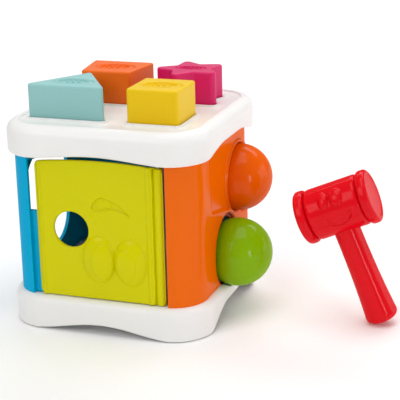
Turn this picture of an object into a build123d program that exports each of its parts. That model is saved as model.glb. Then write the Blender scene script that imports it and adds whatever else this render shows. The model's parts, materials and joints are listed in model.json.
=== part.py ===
"""Shape sorter cube: tray base, lid with four shaped holes, two side walls, a hinged
front door, four drop-in blocks, two balls in a hammer bench and a toy hammer.

Frame: X to the right, Y to the back, Z up, origin on the floor under the cube's centre.
All sizes are millimetres.
"""
import math
import os

from build123d import *

# ---- cube ----------------------------------------------------------------------
cube_width = 150.0          # lid and base, flat to flat
cube_corner = 30.0          # plan corner radius of lid and base
lid_overhang = 5.0          # lid and base beyond the side walls
wall_corner = 24.0          # plan corner radius of the side walls
wall_thick = 2.6
fit_gap = 0.2               # gap between fixed pieces that slot together

# ---- base tray -----------------------------------------------------------------
base_height = 24.0          # floor to rim
skirt_thick = 3.6           # skirt under the tray floor
floor_under = 13.0          # underside of the tray floor
floor_thick = 2.6
rib_thick = 3.0             # rib inside the walls, on base and lid
groove_step = 1.4           # bottom of the groove that takes the walls, above the tray floor
base_shoulder = 5.0         # rounding of the outer top edge
front_arch = 6.5            # rise of the arches between the feet, front and back
side_arch = 11.0            # the same, left and right
arch_span = 104.0
centre_pad_radius = 9.0     # support under the middle of the tray
notch_width = 24.0          # finger relief in the rim under the door
notch_centre = 18.0
notch_depth = 2.4

# ---- lid -----------------------------------------------------------------------
lid_top = 147.7
lid_thick = 3.0
lid_skirt_depth = 22.7      # at the corners
lid_arch = 4.2              # extra rise of the skirt edge between the corners
lid_shoulder = 8.0
field_depth = 1.2           # recessed field inside the raised rim
field_border = 9.0
collar_width = 2.6          # raised collar round each hole
lid_rib_depth = 6.0

# ---- blocks --------------------------------------------------------------------
block_height = 44.0
block_stand = 23.5          # how far a block stands above the lid
block_wall = 2.0
block_gap = 0.4             # block to hole, all round
block_edge = 2.2            # upright corners
block_rim_round = 1.5       # edges of the top face
cap_thick = 2.4
badge_length = 26.0
badge_width = 14.0
star_badge_share = 0.75       # the star's badge against the others
badge_depth = 0.6
pip_radius = 1.3
pip_step = 4.2
triangle_side = 60.0
triangle_depth = 47.5
triangle_centre = (-31.0, -24.5)
square_side = 37.4
square_centre = (33.2, -28.8)
trapezoid_front = 37.0
trapezoid_back = 48.0
trapezoid_depth = 38.0
trapezoid_centre = (-22.5, 22.5)
star_radius = 25.5
star_waist = 15.0
star_tip_round = 3.6
star_turn = 8.0
star_centre = (34.0, 30.0)

# ---- walls ---------------------------------------------------------------------
blue_return = 17.5          # how far the blue wall runs round to the front
orange_return = 20.7        # the same for the orange wall, front and back
window_width = 69.0         # opening in the left wall
window_height = 78.0
window_corner = 22.0
window_centre = (-7.5, 75.0)
boss_radius = 6.0           # corner bosses inside the walls
boss_sink = 5.1             # boss axis to the corner's inner face
boss_length = 24.0
peg_radius = 3.0
peg_length = 14.0
stop_top = 85.0             # top of the stop behind the door's free edge
stop_reach = 7.5
stop_thick = 2.6

# ---- door ----------------------------------------------------------------------
slot_left = 5.0             # blue wall to the door's free edge
slot_right = 2.4            # orange wall to the hinge side
door_recess = 1.0           # outer face, in from the walls' outside
door_thick = 2.6
door_gap = 0.6              # running gap above the base rim
door_headroom = 2.6         # lid skirt down to the door's top edge at the two sides
door_crown = 2.6            # extra height of the top edge at the middle
door_corner = 4.0
hinge_inset = 3.6           # hinge axis to the door's edge
barrel_radius = 3.4
rod_radius = 1.5
rod_gap = 0.1
rod_seat = 5.0
finger_radius = 13.0
finger_centre = (-21.5, 74.3)
eye_size = (12.0, 17.3)     # half width and half height of each bump
eye_bulge = 3.4
eye_centres = ((-1.2, 54.3), (22.4, 53.8))
bead_radius = 1.1
left_bead_inset = 3.9       # beads, in from the door's two edges
right_bead_inset = 9.5

# ---- balls and their bench -----------------------------------------------------
ball_radius = 24.7
ball_wall = 2.0
hole_gap = 0.5              # ball to hole in the wall
upper_ball_out = 0.0        # ball centres beyond the wall's outer face
lower_ball_out = 8.5
lower_ball_foot = 4.2       # lower ball above the tray floor
upper_ball_head = 8.5       # least room between the upper ball and the lid's skirt
ball_clear = 6.6            # between the two balls, seen from the side
bench_middle = 14.0         # midway between the two holes, towards the back
bench_slope = 57.6          # steepest line through the two holes, up from level
lower_hole_rise = 2.5       # the lower hole runs on above its ball
ring_gap = 0.25
ring_thick = 3.0
ring_width = 2.8
scoop_gap = 0.3             # base rim cut away round the lower ball

# ---- hammer --------------------------------------------------------------------
head_radius = 18.2
head_half = 19.6            # half length of the barrel between the end caps
head_wall = 3.6
head_edge = 3.0
cap_bead_proud = 1.0        # end beads beyond the barrel
cap_bead_thick = 7.3
cap_bead_round = 3.3
cap_spigot = 5.0
hammer_height = 87.6        # handle end to head axis
grip_end_radius = 11.6
grip_neck_radius = 9.3
grip_end_round = 4.5
spigot_radius = 6.0
spigot_gap = 0.05
hammer_aside = 109.6        # handle end beyond the cube's side
hammer_back = 2.8
hammer_lean = 22.5
hammer_turn = 3.8
face_angle = 37.0           # the eyes' place round the head, up from the front
hammer_eye = (3.9, 6.4, 2.0)
hammer_eye_x = (-7.4, 1.8)

# ---- screws --------------------------------------------------------------------
screw_radius = 1.5
screw_head_radius = 3.2
screw_head_height = 2.4
screw_length = 20.0
screw_slot = 0.8
screw_gap = 0.2

# ---- worked out from the sizes above ----------------------------------------------
floor_top = floor_under + floor_thick
groove_floor = floor_top + groove_step
lid_under = lid_top - lid_thick
lid_skirt_bottom = lid_top - lid_skirt_depth
wall_width = cube_width - 2 * lid_overhang
wall_inner = wall_width / 2 - wall_thick
corner_reach = (wall_corner - wall_thick - boss_sink) * math.cos(math.radians(45))
boss_place = wall_width / 2 - wall_corner + corner_reach
blue_edge = blue_return - wall_width / 2
orange_edge = wall_width / 2 - orange_return
block_top = lid_top + block_stand
block_bottom = block_top - block_height
door_left = blue_edge + slot_left
door_right = orange_edge - slot_right
door_face = door_recess - wall_width / 2
door_bottom = base_height + door_gap
door_side_height = lid_skirt_bottom - door_headroom
left_bead_x = door_left + left_bead_inset
right_bead_x = door_right - right_bead_inset
hinge_x = door_right - hinge_inset
barrel_y = door_face + barrel_radius
hole_radius = ball_radius + hole_gap
hole_pitch = 2 * ball_radius + ball_clear
hole_start = boss_place - boss_radius - hole_gap
lower_ball_z = floor_top + ball_radius + lower_ball_foot
hole_room = lid_skirt_bottom - upper_ball_head - ball_radius - lower_ball_z
hole_rise = min(hole_pitch * math.sin(math.radians(bench_slope)), hole_room)
hole_step = math.sqrt(hole_pitch ** 2 - hole_rise ** 2)
lower_ball = (wall_width / 2 + lower_ball_out, bench_middle - hole_step / 2, lower_ball_z)
upper_ball = (wall_width / 2 + upper_ball_out, bench_middle + hole_step / 2,
              lower_ball_z + hole_rise)
cap_bead_radius = head_radius + cap_bead_proud
hammer_place = (cube_width / 2 + hammer_aside, hammer_back)


def slab(width, depth, corner, low, high):
    """Upright prism on a rounded rectangle."""
    return Pos(0, 0, low) * extrude(RectangleRounded(width, depth, corner), high - low)


def box(x, y, z):
    """Box between the two ends given on each axis."""
    centre = Pos((x[0] + x[1]) / 2, (y[0] + y[1]) / 2, (z[0] + z[1]) / 2)
    return centre * Box(x[1] - x[0], y[1] - y[0], z[1] - z[0])


def upright(x, y, radius, low, high):
    """Upright round bar."""
    return Pos(x, y, (low + high) / 2) * Cylinder(radius, high - low)


def bar_along_x(y, z, radius, start, end):
    """Round bar along X."""
    return Pos((start + end) / 2, y, z) * Rot(0, 90, 0) * Cylinder(radius, end - start)


def edge_arch(rise, springing, along_x):
    """Long round bar whose crown is rise above the springing line at the middle."""
    radius = ((arch_span / 2) ** 2 + rise ** 2) / (2 * rise)
    bar = Rot(0, 90, 0) * Cylinder(radius, cube_width * 2)
    if not along_x:
        bar = Rot(0, 0, 90) * bar
    return Pos(0, 0, springing + rise - radius) * bar


def corner_spots(reach):
    """The four corner places at plus and minus reach."""
    return [(sx * reach, sy * reach) for sx in (-1, 1) for sy in (-1, 1)]


# ---- outlines of the four blocks ---------------------------------------------------
def triangle_outline():
    half = triangle_side / 2
    points = [(-half, -triangle_depth / 2), (half, -triangle_depth / 2), (0, triangle_depth / 2)]
    shape = Polygon(*points, align=None)
    return Pos(*triangle_centre) * fillet(shape.vertices(), block_edge)


def square_outline():
    return Pos(*square_centre) * RectangleRounded(square_side, square_side, block_edge)


def trapezoid_outline():
    front, back, half = trapezoid_front / 2, trapezoid_back / 2, trapezoid_depth / 2
    shape = Polygon((-front, -half), (front, -half), (back, half), (-back, half), align=None)
    return Pos(*trapezoid_centre) * fillet(shape.vertices(), block_edge)


def star_outline():
    points = []
    for step in range(10):
        reach = star_radius + star_tip_round if step % 2 == 0 else star_waist
        angle = math.radians(180 + star_turn + 36 * step)
        points.append((reach * math.cos(angle), reach * math.sin(angle)))
    shape = Polygon(*points, align=None)
    tips = shape.vertices().sort_by(lambda v: -math.hypot(v.X, v.Y))[:5]
    waists = shape.vertices().sort_by(lambda v: math.hypot(v.X, v.Y))[:5]
    shape = fillet(tips, star_tip_round)
    inner = shape.vertices().filter_by(
        lambda v: any(math.hypot(v.X - w.X, v.Y - w.Y) < 0.01 for w in waists))
    return Pos(*star_centre) * fillet(inner, block_edge)


block_shapes = {
    "triangle": (triangle_outline, 3),
    "square": (square_outline, 4),
    "trapezoid": (trapezoid_outline, 4),
    "star": (star_outline, 5),
}


# ---- fixed shell ---------------------------------------------------------------
def wall_zone(side, gap, low, high):
    """Part of the wall ring that belongs to one side, grown by gap on every face."""
    outer = wall_width + 2 * gap
    inner = 2 * (wall_inner - gap)
    ring = slab(outer, outer, wall_corner + gap, low, high)
    ring -= slab(inner, inner, wall_corner - wall_thick - gap, low, high)
    far = cube_width
    if side == "orange":
        return ring & box((orange_edge - gap, far), (-far, far), (low, high))
    ring -= box((blue_edge + gap, far), (-far, 0), (low, high))
    return ring - box((orange_edge - fit_gap + gap, far), (0, far), (low, high))


def lower_scoop():
    """Round clearance for the lower ball."""
    y, z = lower_ball[1:]
    return bar_along_x(y, z, ball_radius + scoop_gap, wall_inner - 2 * rib_thick, cube_width)


def ring_seat():
    """Round clearance for the lower grip ring."""
    y, z = lower_ball[1:]
    radius = ball_radius + ring_gap + ring_width + fit_gap
    return bar_along_x(y, z, radius, wall_inner - ring_thick - fit_gap, wall_inner + fit_gap)


def base_tray():
    body = slab(cube_width, cube_width, cube_corner, 0, base_height)
    body = fillet(body.faces().sort_by(Axis.Z)[-1].edges(), base_shoulder)
    body = fillet(body.faces().sort_by(Axis.Z)[0].edges(), skirt_thick / 2)
    hollow = cube_width - 2 * skirt_thick
    body -= slab(hollow, hollow, cube_corner - skirt_thick, 0, floor_under)
    well = 2 * (wall_inner - fit_gap - rib_thick)
    body -= slab(well, well, wall_corner - wall_thick - rib_thick, floor_top, base_height)
    body -= wall_zone("blue", fit_gap, groove_floor, base_height)
    body -= wall_zone("orange", fit_gap, groove_floor, base_height)
    body -= edge_arch(front_arch, 0, False)
    body -= edge_arch(side_arch, 0, True)
    body -= ring_seat()
    body += upright(0, 0, centre_pad_radius, 0, floor_under)
    body += upright(hinge_x, barrel_y, barrel_radius + rod_radius, floor_under, base_height)
    body -= lower_scoop()
    body -= upright(hinge_x, barrel_y, rod_radius + rod_gap, base_height - rod_seat, base_height)
    notch = (notch_centre - notch_width / 2, notch_centre + notch_width / 2)
    rim = (door_face - door_recess, door_face + door_thick + rib_thick)
    body -= box(notch, rim, (base_height - notch_depth, base_height))
    for x, y in corner_spots(boss_place):
        body -= upright(x, y, boss_radius + fit_gap, floor_top, base_height)
        body -= upright(x, y, screw_radius + screw_gap, floor_under, floor_top)
    return body


def top_lid():
    body = slab(cube_width, cube_width, cube_corner, lid_skirt_bottom, lid_top)
    body = fillet(body.faces().sort_by(Axis.Z)[-1].edges(), lid_shoulder)
    hollow = wall_width + 2 * fit_gap
    body -= slab(hollow, hollow, wall_corner + fit_gap, lid_skirt_bottom, lid_under)
    body -= edge_arch(lid_arch, lid_skirt_bottom, False)
    body -= edge_arch(lid_arch, lid_skirt_bottom, True)
    rib = 2 * (wall_inner - fit_gap)
    low = lid_under - lid_rib_depth
    locating = slab(rib, rib, wall_corner - wall_thick, low, lid_under)
    locating -= slab(rib - 2 * rib_thick, rib - 2 * rib_thick, wall_corner - wall_thick - rib_thick,
                     low, lid_under)
    for x, y in corner_spots(boss_place):
        locating -= upright(x, y, boss_radius + fit_gap, low, lid_under)
    body += locating
    field = cube_width - 2 * field_border
    recess = slab(field, field, cube_corner - field_border, lid_top - field_depth, lid_top)
    for outline, _ in block_shapes.values():
        collar = offset(outline(), amount=collar_width)
        recess -= Pos(0, 0, lid_top - field_depth) * extrude(collar, field_depth)
    body -= recess
    for outline, _ in block_shapes.values():
        hole = offset(outline(), amount=block_gap)
        body -= Pos(0, 0, low) * extrude(hole, lid_top - low)
    for x, y in corner_spots(boss_place):
        body += upright(x, y, peg_radius, lid_under - peg_length, lid_under)
    knuckle_low = door_side_height + door_crown
    body += upright(hinge_x, barrel_y, barrel_radius, knuckle_low, lid_under)
    body -= upright(hinge_x, barrel_y, rod_radius + rod_gap, knuckle_low, knuckle_low + rod_seat)
    return body


def wall_bosses(spots):
    """Screw bosses at the foot and peg sockets at the head of a wall's corners."""
    group = []
    for x, y in spots:
        foot = upright(x, y, boss_radius, floor_top, floor_top + boss_length)
        foot -= upright(x, y, screw_radius, floor_top, floor_top + boss_length)
        head_low = lid_under - fit_gap - boss_length
        head = upright(x, y, boss_radius, head_low, lid_under - fit_gap)
        head -= upright(x, y, peg_radius + rod_gap, head_low, lid_under)
        group += [foot, head]
    return group


def wall_with_bosses(side, spots):
    wall = wall_zone(side, 0, groove_floor, lid_under - fit_gap)
    outline = slab(wall_width, wall_width, wall_corner, 0, lid_top)
    for boss in wall_bosses(spots):
        wall += boss & outline
    for x, y in spots:
        wall -= upright(x, y, screw_radius, floor_top, floor_top + boss_length)
        wall -= upright(x, y, peg_radius + rod_gap, lid_under - boss_length, lid_under)
    return wall


def blue_wall():
    wall = wall_with_bosses("blue", [spot for spot in corner_spots(boss_place) if spot[0] < 0])
    window = Plane.YZ * Pos(*window_centre) * RectangleRounded(window_width, window_height, window_corner)
    wall -= Pos(-cube_width, 0, 0) * extrude(window, cube_width)
    stop_y = door_face + door_thick + fit_gap
    stop_low = base_height + door_gap
    wall += box((blue_edge - stop_thick, blue_edge), (-wall_inner, stop_y + stop_thick),
                (stop_low, stop_top))
    wall += box((blue_edge - stop_thick, blue_edge + stop_reach), (stop_y, stop_y + stop_thick),
                (stop_low, stop_top))
    return wall


def orange_wall():
    wall = wall_with_bosses("orange", [spot for spot in corner_spots(boss_place) if spot[0] > 0])
    start, end = hole_start, cube_width
    wall -= bar_along_x(upper_ball[1], upper_ball[2], hole_radius, start, end)
    low = bar_along_x(lower_ball[1], lower_ball[2], hole_radius, start, end)
    high = bar_along_x(lower_ball[1], lower_ball[2] + lower_hole_rise, hole_radius, start, end)
    between = box((start, end), (lower_ball[1] - hole_radius, lower_ball[1] + hole_radius),
                  (lower_ball[2], lower_ball[2] + lower_hole_rise))
    return wall - low - high - between


def grip_ring(ball):
    """Soft ring behind a hole of the bench."""
    inner = ball_radius + ring_gap
    start = wall_inner - ring_thick
    ring = bar_along_x(ball[1], ball[2], inner + ring_width, start, wall_inner)
    ring -= bar_along_x(ball[1], ball[2], inner, start, wall_inner)
    room = 2 * wall_inner
    return ring & slab(room, room, wall_corner, 0, lid_top)


def base_screws():
    group = []
    for x, y in corner_spots(boss_place):
        head = upright(x, y, screw_head_radius, floor_under - screw_head_height, floor_under)
        shank = upright(x, y, screw_radius, floor_under, floor_under + screw_length)
        slot = box((x - screw_head_radius, x + screw_head_radius), (y - screw_slot / 2, y + screw_slot / 2),
                   (floor_under - screw_head_height, floor_under - screw_head_height / 2))
        group.append(head + shank - slot)
    return Compound(children=[piece.solid() for piece in group])


# ---- door ----------------------------------------------------------------------
def door_outline():
    """Front view of the door: straight sides and foot, and a crowned top."""
    middle = (door_left + door_right) / 2
    with BuildSketch(Plane.XZ) as sketch:
        with BuildLine():
            Line((door_left, door_bottom), (door_right, door_bottom))
            Line((door_right, door_bottom), (door_right, door_side_height))
            ThreePointArc((door_right, door_side_height), (middle, door_side_height + door_crown),
                          (door_left, door_side_height))
            Line((door_left, door_side_height), (door_left, door_bottom))
        make_face()
        fillet(sketch.vertices(), door_corner)
    return sketch.sketch


def oval_bump(x, y, z, half_x, half_y, half_z):
    """Ellipsoid with the given half sizes."""
    return Pos(x, y, z) * scale(Sphere(1), by=(half_x, half_y, half_z))


def front_door():
    back = door_face + door_thick
    panel = Pos(0, back, 0) * extrude(door_outline(), door_thick)
    panel += upright(hinge_x, barrel_y, barrel_radius, door_bottom, door_side_height)
    for x in (left_bead_x, right_bead_x):
        panel += upright(x, door_face + bead_radius / 3, bead_radius, door_bottom + door_corner,
                         door_side_height - door_corner)
    front_half = box((door_left, door_right), (door_face - 2 * eye_bulge, back), (0, lid_top))
    for x, z in eye_centres:
        bump = oval_bump(x, door_face, z, eye_size[0], eye_bulge, eye_size[1])
        panel += bump & front_half
    x, z = finger_centre
    finger = Pos(x, door_face, z) * Rot(90, 0, 0) * Cylinder(finger_radius, 4 * door_thick)
    panel -= finger
    return panel - upright(hinge_x, barrel_y, rod_radius + rod_gap, 0, lid_top)


def hinge_rod():
    low = base_height - rod_seat + rod_gap
    high = door_side_height + door_crown + rod_seat - rod_gap
    return upright(hinge_x, barrel_y, rod_radius, low, high)


# ---- blocks --------------------------------------------------------------------
def badge_place(name):
    """Middle of a block's top, at the centroid of its outline."""
    centroid = block_shapes[name][0]().center(CenterOf.MASS)
    return centroid.X, centroid.Y


def block_shell(name):
    outline, count = block_shapes[name]
    profile = outline()
    shell = Pos(0, 0, block_bottom) * extrude(profile, block_height)
    shell = fillet(shell.faces().sort_by(Axis.Z)[-1].edges(), block_rim_round)
    core = offset(profile, amount=-block_wall)
    shell -= Pos(0, 0, block_bottom) * extrude(core, block_height - block_wall)
    share = star_badge_share if name == "star" else 1.0
    x, y = badge_place(name)
    oval = Ellipse(share * badge_length / 2, share * badge_width / 2)
    badge = Pos(x, y, block_top - badge_depth) * extrude(oval, badge_depth)
    for index in range(count):
        dot_x = x + (index - (count - 1) / 2) * pip_step * share
        badge -= upright(dot_x, y, share * pip_radius, block_top - badge_depth, block_top)
    return shell - badge


def block_cap(name):
    outline = block_shapes[name][0]
    plate = offset(outline(), amount=-block_wall - rod_gap)
    return Pos(0, 0, block_bottom) * extrude(plate, cap_thick)


# ---- balls ---------------------------------------------------------------------
def ball_half(ball, outer_side):
    shell = Sphere(ball_radius) - Sphere(ball_radius - ball_wall)
    side = 1 if outer_side else -1
    keep = Pos(side * ball_radius, 0, 0) * Box(2 * ball_radius, 4 * ball_radius, 4 * ball_radius)
    return Pos(*ball) * (shell & keep)


# ---- hammer --------------------------------------------------------------------
def place_hammer(piece):
    """Stands a piece modelled upright at the origin on the floor beside the cube."""
    lean = math.radians(hammer_lean)
    rim = grip_end_radius - grip_end_round
    lift = grip_end_round * (1 - math.cos(lean)) + rim * math.sin(lean)
    return Pos(*hammer_place, lift) * Rot(0, 0, hammer_turn) * Rot(0, -hammer_lean, 0) * piece


def hammer_handle():
    joint = hammer_height - head_radius
    with BuildSketch(Plane.XZ) as profile:
        with BuildLine():
            Polyline((0, 0), (grip_end_radius, 0), (grip_neck_radius, joint + head_radius / 2),
                     (0, joint + head_radius / 2), (0, 0))
        make_face()
        end = [v for v in profile.vertices() if abs(v.Z) < 0.01 and v.X > 1]
        fillet(end, grip_end_round)
    grip = revolve(profile.sketch, Axis.Z)
    grip -= bar_along_x(0, hammer_height, head_radius, -2 * head_half, 2 * head_half)
    top = hammer_height - head_radius + head_wall
    return grip + upright(0, 0, spigot_radius, joint - head_wall, top)


def hammer_head():
    barrel = bar_along_x(0, hammer_height, head_radius, -head_half, head_half)
    ends = barrel.edges().filter_by(GeomType.CIRCLE)
    barrel = fillet(ends, head_edge)
    for x in hammer_eye_x:
        eye = Rot(-face_angle, 0, 0) * Pos(0, -head_radius, 0) * scale(
            Sphere(1), by=(hammer_eye[0], hammer_eye[2], hammer_eye[1]))
        barrel += Pos(x, 0, hammer_height) * eye
    barrel -= bar_along_x(0, hammer_height, head_radius - head_wall, -head_half, head_half)
    return barrel - upright(0, 0, spigot_radius + spigot_gap, 0, hammer_height)


def hammer_end_cap(side):
    start = head_half
    disc = bar_along_x(0, hammer_height, cap_bead_radius, start, start + cap_bead_thick)
    disc = fillet(disc.edges().filter_by(GeomType.CIRCLE), cap_bead_round)
    spigot = head_radius - head_wall - spigot_gap
    plug = bar_along_x(0, hammer_height, spigot, start - cap_spigot, start)
    plug -= bar_along_x(0, hammer_height, spigot - head_wall, start - cap_spigot, start)
    cap = disc + plug
    return cap if side > 0 else Rot(0, 0, 180) * cap


# ---- all pieces, by node name --------------------------------------------------------
def all_pieces():
    pieces = {
        "base_tray": base_tray(),
        "top_lid": top_lid(),
        "left_back_wall": blue_wall(),
        "ball_bench_wall": orange_wall(),
        "upper_grip_ring": grip_ring(upper_ball),
        "lower_grip_ring": grip_ring(lower_ball),
        "base_screws": base_screws(),
        "door_hinge_rod": hinge_rod(),
        "front_door": front_door(),
        "hammer_handle": place_hammer(hammer_handle()),
        "hammer_head": place_hammer(hammer_head()),
        "hammer_left_cap": place_hammer(hammer_end_cap(-1)),
        "hammer_right_cap": place_hammer(hammer_end_cap(1)),
    }
    for name in block_shapes:
        pieces[name + "_block_shell"] = block_shell(name)
        pieces[name + "_block_cap"] = block_cap(name)
    for name, ball in (("upper", upper_ball), ("lower", lower_ball)):
        pieces[name + "_ball_outer_half"] = ball_half(ball, True)
        pieces[name + "_ball_inner_half"] = ball_half(ball, False)
    return pieces


os.makedirs("parts", exist_ok=True)
for node, piece in all_pieces().items():
    export_step(piece, f"parts/{node}.step")
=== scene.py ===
"""Looks of the toy sorting cube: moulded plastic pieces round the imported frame, and a studio."""

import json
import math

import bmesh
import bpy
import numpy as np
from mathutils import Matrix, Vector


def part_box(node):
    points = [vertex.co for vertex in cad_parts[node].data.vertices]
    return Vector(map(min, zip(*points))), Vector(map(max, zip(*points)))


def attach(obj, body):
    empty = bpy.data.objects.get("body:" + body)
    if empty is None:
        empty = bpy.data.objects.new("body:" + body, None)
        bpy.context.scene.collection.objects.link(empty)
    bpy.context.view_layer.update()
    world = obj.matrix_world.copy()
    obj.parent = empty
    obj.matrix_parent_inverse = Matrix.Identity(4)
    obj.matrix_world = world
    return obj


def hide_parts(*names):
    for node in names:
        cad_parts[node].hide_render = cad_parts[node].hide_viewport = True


bl_info = {
    "name": "Sorting Cube Workshop",
    "version": (1, 0, 0),
    "blender": (4, 5, 0),
    "location": "View3D > Sidebar > Sorting Cube",
    "description": "Builds the moulded pieces, finishes and studio of a toy sorting cube",
    "category": "Object",
}

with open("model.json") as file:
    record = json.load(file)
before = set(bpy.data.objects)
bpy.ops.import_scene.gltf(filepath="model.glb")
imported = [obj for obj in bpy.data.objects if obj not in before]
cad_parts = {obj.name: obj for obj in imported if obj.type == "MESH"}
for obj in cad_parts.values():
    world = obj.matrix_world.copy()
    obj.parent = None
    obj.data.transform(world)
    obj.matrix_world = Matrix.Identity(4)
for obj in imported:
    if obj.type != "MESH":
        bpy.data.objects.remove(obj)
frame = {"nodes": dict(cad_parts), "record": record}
MM = 0.001


# ---- kinds of setting ------------------------------------------------------------
def linear(*display):
    """Linear colour from 0 to 255 display values, by the standard display curve."""
    share = np.array(display) / 255.0
    curve = np.where(share <= 0.04045, share / 12.92, ((share + 0.055) / 1.055) ** 2.4)
    return tuple(float(value) for value in curve)


def length(label, description, millimetres):
    """A length property, given in millimetres."""
    return bpy.props.FloatProperty(name=label, description=description, default=millimetres * MM,
                                   unit="LENGTH", precision=5)


def tilt(label, description, degrees):
    """An angle property, given in degrees."""
    return bpy.props.FloatProperty(name=label, description=description,
                                   default=math.radians(degrees), unit="ROTATION")


def tint(label, description, *display):
    """A colour property, given in 0 to 255 display values."""
    return bpy.props.FloatVectorProperty(name=label, description=description, size=3, min=0, max=1,
                                         default=linear(*display), subtype="COLOR")


# ---- finishes ------------------------------------------------------------------
class FinishColors(bpy.types.PropertyGroup):
    """Colours of the plastics"""

    white_plastic: tint("White", "Tray and lid", 240, 239, 237)
    blue_plastic: tint("Blue", "Left and back wall", 0, 170, 216)
    lime_plastic: tint("Lime", "Front door", 213, 207, 0)
    orange_plastic: tint("Orange", "Ball bench wall", 238, 104, 0)
    orange_ball_plastic: tint("Orange ball", "Upper ball", 232, 94, 0)
    green_ball_plastic: tint("Green ball", "Lower ball", 131, 178, 4)
    red_plastic: tint("Red", "Hammer", 222, 8, 24)
    teal_plastic: tint("Teal", "Triangle block", 150, 199, 197)
    yellow_plastic: tint("Yellow", "Square block", 235, 195, 0)
    amber_plastic: tint("Amber", "Trapezoid block", 240, 104, 0)
    magenta_plastic: tint("Magenta", "Star block", 212, 16, 98)
    soft_ring: tint("Soft ring", "Grip rings behind the ball holes", 150, 62, 4)


# Name, roughness, coat weight and specular level of the finish in each plastic slot
PLASTICS = {
    "white_plastic": ("White Gloss", 0.34, 0.25, 0.05),
    "blue_plastic": ("Blue Gloss", 0.36, 0.14, 0.0),
    "lime_plastic": ("Lime Gloss", 0.34, 0.24, 0.0),
    "orange_plastic": ("Orange Gloss", 0.32, 0.28, 0.0),
    "orange_ball_plastic": ("Orange Ball", 0.32, 0.28, 0.0),
    "green_ball_plastic": ("Green Ball", 0.32, 0.28, 0.0),
    "red_plastic": ("Red Gloss", 0.26, 0.30, 0.0),
    "teal_plastic": ("Teal Satin", 0.45, 0.0, 0.15),
    "yellow_plastic": ("Yellow Satin", 0.42, 0.0, 0.22),
    "amber_plastic": ("Amber Satin", 0.40, 0.0, 0.28),
    "magenta_plastic": ("Magenta Satin", 0.40, 0.0, 0.32),
    "soft_ring": ("Soft Ring", 0.6, 0.0, 0.2),
}
FINISHES = {}


def new_material(name):
    """A node material with its nodes, links and main shader."""
    material = bpy.data.materials.new(name)
    material.use_nodes = True
    nodes, links = material.node_tree.nodes, material.node_tree.links
    return material, nodes, links, nodes["Principled BSDF"]


def moulded_grain_group():
    """Shared moulding effect: slow tint drift, fine grain height and a mottled roughness."""
    name = "Moulded Grain"
    if name in bpy.data.node_groups:
        return bpy.data.node_groups[name]
    group = bpy.data.node_groups.new(name, "ShaderNodeTree")
    inputs = {"Color": (0.8, 0.8, 0.8, 1), "Drift": 0.06, "Roughness": 0.3, "Mottle": 0.08,
              "Grain Scale": 900.0}
    for socket, default in inputs.items():
        kind = "NodeSocketColor" if socket == "Color" else "NodeSocketFloat"
        group.interface.new_socket(name=socket, in_out="INPUT", socket_type=kind).default_value = default
    for socket in ("Color", "Roughness", "Grain"):
        kind = "NodeSocketColor" if socket == "Color" else "NodeSocketFloat"
        group.interface.new_socket(name=socket, in_out="OUTPUT", socket_type=kind)
    nodes, links = group.nodes, group.links
    entry = nodes.new("NodeGroupInput")
    leave = nodes.new("NodeGroupOutput")
    place = nodes.new("ShaderNodeTexCoord")
    slow = nodes.new("ShaderNodeTexNoise")
    slow.inputs["Scale"].default_value = 14.0
    slow.inputs["Detail"].default_value = 2.0
    fine = nodes.new("ShaderNodeTexNoise")
    fine.inputs["Detail"].default_value = 3.0
    links.new(place.outputs["Object"], slow.inputs["Vector"])
    links.new(place.outputs["Object"], fine.inputs["Vector"])
    links.new(entry.outputs["Grain Scale"], fine.inputs["Scale"])
    signed = nodes.new("ShaderNodeMath")
    signed.operation = "SUBTRACT"
    signed.inputs[1].default_value = 0.5
    links.new(slow.outputs["Fac"], signed.inputs[0])
    amount = nodes.new("ShaderNodeMath")
    amount.operation = "MULTIPLY_ADD"
    amount.inputs[2].default_value = 1.0
    links.new(signed.outputs["Value"], amount.inputs[0])
    links.new(entry.outputs["Drift"], amount.inputs[1])
    shade = nodes.new("ShaderNodeHueSaturation")
    links.new(entry.outputs["Color"], shade.inputs["Color"])
    links.new(amount.outputs["Value"], shade.inputs["Value"])
    rough = nodes.new("ShaderNodeMath")
    rough.operation = "MULTIPLY_ADD"
    links.new(signed.outputs["Value"], rough.inputs[0])
    links.new(entry.outputs["Mottle"], rough.inputs[1])
    links.new(entry.outputs["Roughness"], rough.inputs[2])
    links.new(shade.outputs["Color"], leave.inputs["Color"])
    links.new(rough.outputs["Value"], leave.inputs["Roughness"])
    links.new(fine.outputs["Fac"], leave.inputs["Grain"])
    return group


def plastic(color, name, roughness, coat, gloss):
    """Moulded plastic: tinted base, mottled gloss, fine grain and a thin clear skin."""
    material, nodes, links, shader = new_material(name)
    grain = nodes.new("ShaderNodeGroup")
    grain.node_tree = moulded_grain_group()
    grain.inputs["Color"].default_value = (*color, 1.0)
    grain.inputs["Roughness"].default_value = roughness
    bump = nodes.new("ShaderNodeBump")
    bump.inputs["Strength"].default_value = 0.05
    bump.inputs["Distance"].default_value = 0.0004
    links.new(grain.outputs["Color"], shader.inputs["Base Color"])
    links.new(grain.outputs["Roughness"], shader.inputs["Roughness"])
    links.new(grain.outputs["Grain"], bump.inputs["Height"])
    links.new(bump.outputs["Normal"], shader.inputs["Normal"])
    shader.inputs["IOR"].default_value = 1.5
    shader.inputs["Specular IOR Level"].default_value = gloss
    shader.inputs["Coat Weight"].default_value = coat
    shader.inputs["Coat Roughness"].default_value = 0.14
    return material


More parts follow.
